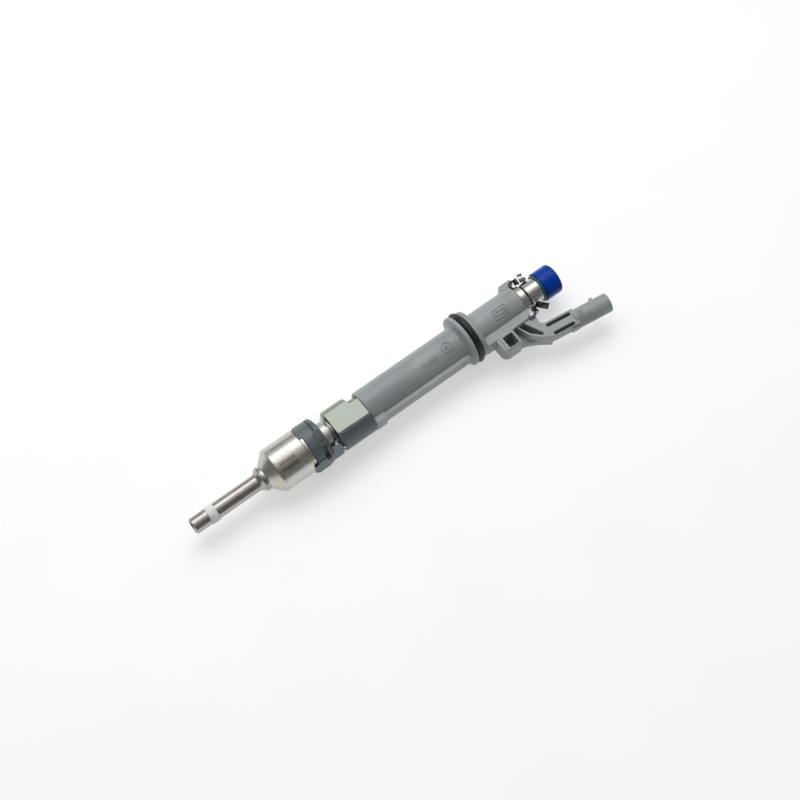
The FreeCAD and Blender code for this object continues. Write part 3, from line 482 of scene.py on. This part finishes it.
def draw(shape, tube, points, section, closed=False, step=0.25):
    """A ridge on a tube along straight runs between (x, s) points, cut short enough to follow the round."""
    route = []
    pairs = list(zip(points, points[1:] + points[:1])) if closed else list(zip(points, points[1:]))
    for (x0, s0), (x1, s1) in pairs:
        steps = max(1, round(math.hypot(x1 - x0, s1 - s0) / step))
        route += [(x0 + (x1 - x0) * k / steps, s0 + (s1 - s0) * k / steps) for k in range(steps)]
    if not closed:
        route.append(points[-1])
    spots = [tube.at(x, s) for x, s in route]
    sweep(shape, [spot[0] for spot in spots], [spot[1] for spot in spots], section, closed)


def circle(x, s, radius, sides=28):
    turns = [2 * math.pi * k / sides for k in range(sides)]
    return [(x + radius * math.cos(t), s + radius * math.sin(t)) for t in turns]


def sleeve_marks():
    """Plain moulded marks: two ringed dots, a row of equal bars and a double frame."""
    shape = bmesh.new()
    front, rear = Tube(8.26), Tube(7.94)
    fine = ridge(0.46, 0.36)
    draw(shape, front, circle(133.7, 1.05, 2.2), fine, closed=True)
    draw(shape, front, circle(133.7, 1.05, 0.6, 12), fine, closed=True)
    for k in range(8):
        draw(shape, front, [(119.9 + 1.05 * k, 1.6), (119.9 + 1.05 * k, 3.6)], fine)
    for inset in (0.0, 1.35):
        low, high, top, bottom = 159.8 + inset, 166.7 - inset, -0.45 + inset, 3.9 - inset
        draw(shape, rear, [(low, top), (high, top), (high, bottom), (low, bottom)], fine, closed=True)
    barrel = Tube(4.48, (178.0, -20.6), -math.radians(7.2))
    draw(shape, barrel, circle(14.3, 0.2, 1.35, 20), fine, closed=True)
    draw(shape, barrel, circle(14.3, 0.2, 0.3, 10), fine, closed=True)
    piece_of("sleeve_marks", shape, "grey_plastic")


def pad_bars():
    """Bars moulded on the overmold's oval pad."""
    shape = bmesh.new()
    tilt = math.radians(16.5)
    s, c = math.sin(tilt), math.cos(tilt)
    top = 10.75
    for k, reach in enumerate((2.1, 2.75, 2.75, 2.1)):
        x = 63.15 + 0.86 * k
        across = [Vector((x, -top * s + t * c, top * c + t * s)) * MM for t in (-reach, 0, reach)]
        sweep(shape, across, [Vector((0, -s, c))] * 3, ridge(0.42, 0.26))
    piece_of("pad_bars", shape, "slate_plastic")


def bent_strip(shape, points, width, thickness, height):
    """A strip on edge along a rounded plan of (x, y) points in mm, at this height."""
    path = rounded(points, 0.9)
    places = [Vector((x, y, height)) * MM for x, y in path]
    outs = []
    for i in range(len(path)):
        a, b = path[max(i - 1, 0)], path[min(i + 1, len(path) - 1)]
        outs.append(Vector((-(b[1] - a[1]), b[0] - a[0], 0)).normalized())
    sweep(shape, places, outs, strip(width, thickness))


def rounded(points, radius, steps=5):
    """A plan whose inner corners are eased."""
    path = [points[0]]
    for before, corner, after in zip(points, points[1:], points[2:]):
        one, two = Vector(before) - Vector(corner), Vector(after) - Vector(corner)
        reach = min(radius, one.length * 0.45, two.length * 0.45)
        start, end = Vector(corner) + one.normalized() * reach, Vector(corner) + two.normalized() * reach
        for k in range(steps + 1):
            t = k / steps
            path.append(tuple((1 - t) ** 2 * start + 2 * t * (1 - t) * Vector(corner) + t * t * end))
    path.append(points[-1])
    return path


def plate(shape, places, out, width, thickness=0.42):
    """A flat strip through a few places in mm, its broad side facing out."""
    sweep(shape, [Vector(p) * MM for p in places], [Vector(out).normalized()] * len(places),
          strip(width, thickness))


def round_tube(shape, radius, turns, station, width, thickness):
    """A strip round the fuel tube; station gives its place along the tube for each angle in degrees."""
    spots = []
    for turn in turns:
        t = math.radians(turn)
        out = Vector((0, -math.sin(t), math.cos(t)))
        spots.append((Vector((station(turn), 0, 0)) * MM + out * radius * MM, out))
    sweep(shape, [s[0] for s in spots], [s[1] for s in spots], strip(width, thickness))


def spring_clip_and_painted_shade():
    """The dark bent strip round the tube, with a folded ear on each side of it. The tilted strip is partly
    painted shade of the gap beside it, and a broad dark band is painted shade on the tube's lower side.
    """
    shape = bmesh.new()
    # the tilted dark strip: partly the clip, partly painted shade of the dark gap beside it
    round_tube(shape, 4.98, range(-60, 76, 6), lambda a: 179.57 + 0.0125 * a + 0.00011 * a * a, 0.95, 0.5)
    # painted shade: a broad dark band over the tube's lower side, where it lies in shade
    round_tube(shape, 5.15, range(52, 112, 6), lambda a: 179.1, 3.6, 0.4)
    bent_strip(shape, [(178.9, 3.6), (176.3, 4.9), (175.8, 6.2), (175.8, 8.0), (177.4, 8.3), (179.4, 8.1),
                       (180.1, 6.6), (179.7, 5.2)], 1.7, 0.42, 3.9)
    bent_strip(shape, [(179.2, 4.3), (181.0, 4.7), (183.6, 5.2), (184.1, 6.1), (183.6, 6.7)],
               1.5, 0.42, 3.2)
    plate(shape, [(178.9, 5.6, 4.0), (179.2, 7.0, 4.1), (179.4, 8.4, 3.8)], (-0.55, -0.55, 0.6), 2.3)
    plate(shape, [(178.9, -5.2, 1.6), (178.8, -6.6, 1.1), (178.6, -7.9, 0.5)], (-0.35, -0.75, 0.55), 2.4)
    plate(shape, [(180.7, -5.9, 1.4), (182.6, -7.8, 0.8), (185.0, -9.9, 0.1)], (-0.35, -0.75, 0.55), 3.1)
    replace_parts(piece_of("spring_clip_and_painted_shade", shape, "spring_steel"), "retaining_clip")


def clip_tabs():
    """The brighter flat ends of the strip."""
    shape = bmesh.new()
    plate(shape, [(182.2, 5.6, 3.0), (182.5, 7.6, 3.2), (183.1, 9.5, 3.1)], (-0.20, -0.22, 1), 2.3)
    plate(shape, [(177.4, -6.0, 1.9), (177.3, -7.2, 1.7), (177.2, -8.0, 1.2)], (0.1, 0.45, 1), 0.8)
    plate(shape, [(172.9, -10.6, 4.8), (175.4, -10.7, 4.7), (178.7, -9.3, 3.6)],
          (-0.15, -0.30, 0.94), 2.2, 0.6)
    plate(shape, [(181.2, -2.6, 4.7), (181.6, -3.6, 4.3), (181.9, -4.6, 3.5)], (0.30, 0.25, 1), 0.5)
    piece_of("clip_tabs", shape, "hard_steel")


moulding("sleeve_moulding", "sleeve_housing", 0.18, 0.35)
moulding("overmold_moulding", "coil_overmold", 0.12, 0.4)
moulding("duct_moulding", "conductor_duct", 0.15, 0.5)
sleeve_marks()
pad_bars()
spring_clip_and_painted_shade()
clip_tabs()


# ---- stage, light and camera ------------------------------------------------------------------

# Brightness of the room against its direction, from the camera's side up to the lit side.
ROOM_LEVELS = [(0.0, 0.20), (0.30, 0.14), (0.55, 0.22), (0.80, 0.62), (1.0, 0.95)]
LIT_SIDE = (0.0, 0.5, 0.866)
BACKDROP = 0.95
CAMERA_PLACE = (-0.05854, -0.22261, 0.64454)
CAMERA_TURN = (22.81, 0, -37.03)


def floor():
    bottom = cad_box[0][2]
    shape = bmesh.new()
    bmesh.ops.create_grid(shape, x_segments=8, y_segments=8, size=3.0)
    mesh = bpy.data.meshes.new("floor")
    shape.to_mesh(mesh)
    shape.free()
    piece = bpy.data.objects.new("floor", mesh)
    piece.location = (0.1, 0, bottom)
    bpy.context.scene.collection.objects.link(piece)
    finish = Finish("floor", 0.7, Emission_Color=(1, 1, 1, 1), Emission_Strength=0.5)
    finish.base(finish.noise(60.0, 2.0), [(0.3, (0.50, 0.50, 0.50)), (0.7, (0.52, 0.52, 0.52))])
    mesh.materials.append(finish.material)


def softbox(name, place, target, size, power):
    lamp = bpy.data.lights.new(name, "AREA")
    lamp.shape = "RECTANGLE"
    lamp.size, lamp.size_y = size
    lamp.energy = power
    holder = bpy.data.objects.new(name, lamp)
    holder.location = place
    holder.rotation_euler = (Vector(target) - Vector(place)).to_track_quat("-Z", "Y").to_euler()
    bpy.context.scene.collection.objects.link(holder)
    return holder


def studio():
    """A broad soft light from above and behind, in a pale room that is dimmer on the camera's side."""
    middle = (0.1, -0.005, 0.0)
    softbox("key", (0.20, 0.35, 0.60), middle, (1.1, 0.5), 2.2)
    spread = softbox("spread", (0.16, 0.30, 0.66), middle, (0.6, 0.4), 1.6)
    spread.visible_glossy = False
    world = bpy.data.worlds.new("studio")
    world.use_nodes = True
    tree = world.node_tree
    sky = tree.nodes["Background"]
    where = tree.nodes.new("ShaderNodeTexCoord")
    towards = tree.nodes.new("ShaderNodeVectorMath")
    towards.operation = "DOT_PRODUCT"
    towards.inputs[1].default_value = LIT_SIDE
    tree.links.new(where.outputs["Generated"], towards.inputs[0])
    level = tree.nodes.new("ShaderNodeValToRGB")
    level.color_ramp.interpolation = "B_SPLINE"
    elements = level.color_ramp.elements
    elements[0].color = (ROOM_LEVELS[0][1],) * 3 + (1,)
    elements[1].color = (ROOM_LEVELS[-1][1],) * 3 + (1,)
    for at, grey in ROOM_LEVELS[1:-1]:
        elements.new(at).color = (grey, grey, grey, 1)
    tree.links.new(towards.outputs["Value"], level.inputs["Fac"])
    rays = tree.nodes.new("ShaderNodeLightPath")
    mix = tree.nodes.new("ShaderNodeMix")
    mix.data_type = "RGBA"
    tree.links.new(rays.outputs["Is Camera Ray"], mix.inputs["Factor"])
    tree.links.new(level.outputs["Color"], mix.inputs[6])
    mix.inputs[7].default_value = (BACKDROP, BACKDROP, BACKDROP, 1)
    tree.links.new(mix.outputs[2], sky.inputs["Color"])
    bpy.context.scene.world = world
    bpy.context.scene.view_settings.view_transform = "Standard"


def camera():
    lens = bpy.data.cameras.new("camera")
    lens.lens = 72.27
    lens.sensor_width = 36.0
    lens.clip_start = 0.01
    holder = bpy.data.objects.new("camera", lens)
    holder.location = CAMERA_PLACE
    holder.rotation_euler = [math.radians(turn) for turn in CAMERA_TURN]
    bpy.context.scene.collection.objects.link(holder)
    bpy.context.scene.camera = holder


floor()
studio()
camera()
